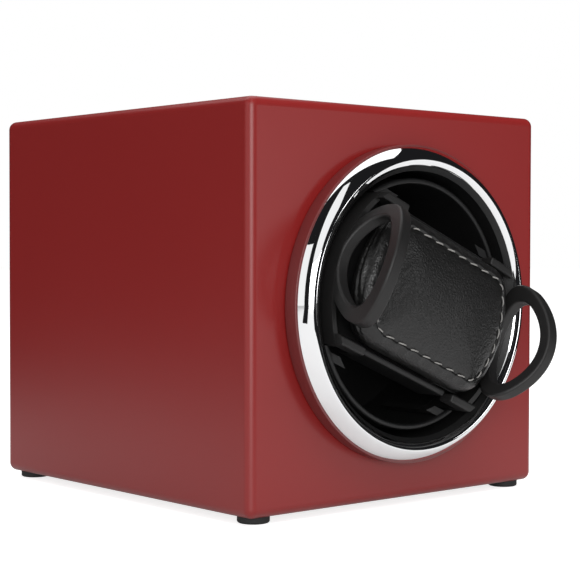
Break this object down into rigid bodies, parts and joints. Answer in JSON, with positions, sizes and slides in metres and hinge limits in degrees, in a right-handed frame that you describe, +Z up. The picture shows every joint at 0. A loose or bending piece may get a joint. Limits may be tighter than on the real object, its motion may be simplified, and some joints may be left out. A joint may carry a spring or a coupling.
{
  "type": "watch winder box",
  "caption": "Lacquered watch winder box: a belt-driven drum in a round chrome-rimmed front turns a padded watch holder that pulls out by finger loops.",
  "frame": {"origin": "on the surface that the feet stand on, midway across and midway between the front of the finger loops and the rear of the knobs", "axes": "+X to the right as seen from the front, +Y from the front to the rear, +Z up"},
  "size_m": [0.12, 0.1716, 0.12],
  "materials": {
    "red_lacquer": "satin dark red lacquer over wood",
    "chrome": "polished",
    "black_plastic": "fine matte",
    "black_leather": "fine-grained black leather with pale grey stitching",
    "black_rubber": "matte",
    "bronze": "sintered",
    "pale_plastic": "satin",
    "steel": "plated",
    "bare_wood": "unfinished",
    "board_green": "solder mask",
    "terminal_green": "satin",
    "red_wire": "satin insulation"
  },
  "bodies": {
    "case": {"case_shell": "red_lacquer", "front_collar": "red_lacquer", "chrome_bezel": "chrome", "drum_housing": "black_plastic", "housing_screws": "steel", "corner_blocks": "bare_wood", "rear_panel": "black_plastic", "rear_panel_screws": "steel", "front_bush": "bronze", "rear_bush": "bronze", "thrust_washer": "pale_plastic", "drive_belt": "black_rubber", "gearbox": "black_plastic", "motor_can": "steel", "motor_bracket": "steel", "motor_screws": "steel", "bracket_screws": "steel", "dc_jack": "black_plastic", "control_board": "board_green", "board_standoffs": "pale_plastic", "board_screws": "steel", "timer_chip": "black_plastic", "board_capacitor": "black_plastic", "terminal_block": "terminal_green", "motor_leads": "red_wire", "jack_leads": "red_wire", "mode_leads": "red_wire", "link_leads": "red_wire", "foot_front_left": "black_rubber", "foot_front_right": "black_rubber", "foot_rear_left": "black_rubber", "foot_rear_right": "black_rubber", "mode_switch": "black_plastic", "mode_nut": "steel", "direction_switch": "black_plastic", "direction_nut": "steel"},
    "drum": {"drum": "black_plastic", "drum_shaft": "steel", "hub_screw": "steel", "shaft_clip": "steel", "driven_pulley": "pale_plastic", "pulley_grub_screw": "steel"},
    "motor_rotor": {"motor_pulley": "pale_plastic", "motor_shaft": "steel"},
    "holder": {"holder_frame": "black_plastic", "pad_core": "black_plastic", "pad_screws": "steel", "watch_cushion": "black_leather"},
    "loop_right": {"finger_loop_right": "black_plastic"},
    "loop_left": {"finger_loop_left": "black_plastic"},
    "mode_control": {"mode_knob": "black_plastic", "mode_shaft": "steel"},
    "direction_control": {"direction_knob": "black_plastic", "direction_shaft": "steel"}
  },
  "joints": [
    {"name": "drum_spin", "type": "hinge", "parent": "case", "child": "drum", "pos_m": [0, 0.00365, 0.061], "axis": [0, 1, 0], "continuous": true},
    {"name": "motor_spin", "type": "hinge", "parent": "case", "child": "motor_rotor", "pos_m": [0, 0.00365, 0.025], "axis": [0, 1, 0], "continuous": true},
    {"name": "holder_slide", "type": "slide", "parent": "drum", "child": "holder", "axis": [0, -1, 0], "range_m": [0, 0.06]},
    {"name": "right_loop_pinch", "type": "hinge", "parent": "holder", "child": "loop_right", "pos_m": [0.03038, -0.051, 0.04811], "axis": [-0.3907, 0, -0.9205], "range_deg": [0, 5], "stiffness_Nm_per_rad": 0.6},
    {"name": "left_loop_pinch", "type": "hinge", "parent": "holder", "child": "loop_left", "pos_m": [-0.03038, -0.051, 0.07389], "axis": [0.3907, 0, 0.9205], "range_deg": [0, 5], "stiffness_Nm_per_rad": 0.6},
    {"name": "mode_turn", "type": "hinge", "parent": "case", "child": "mode_control", "pos_m": [-0.022, 0.0748, 0.075], "axis": [0, 1, 0], "range_deg": [-135, 135]},
    {"name": "direction_turn", "type": "hinge", "parent": "case", "child": "direction_control", "pos_m": [0.022, 0.0748, 0.075], "axis": [0, 1, 0], "range_deg": [-60, 60]}
  ],
  "couplings": [
    {"joint": "motor_spin", "follows": "drum_spin", "ratio": 4.8}
  ]
}
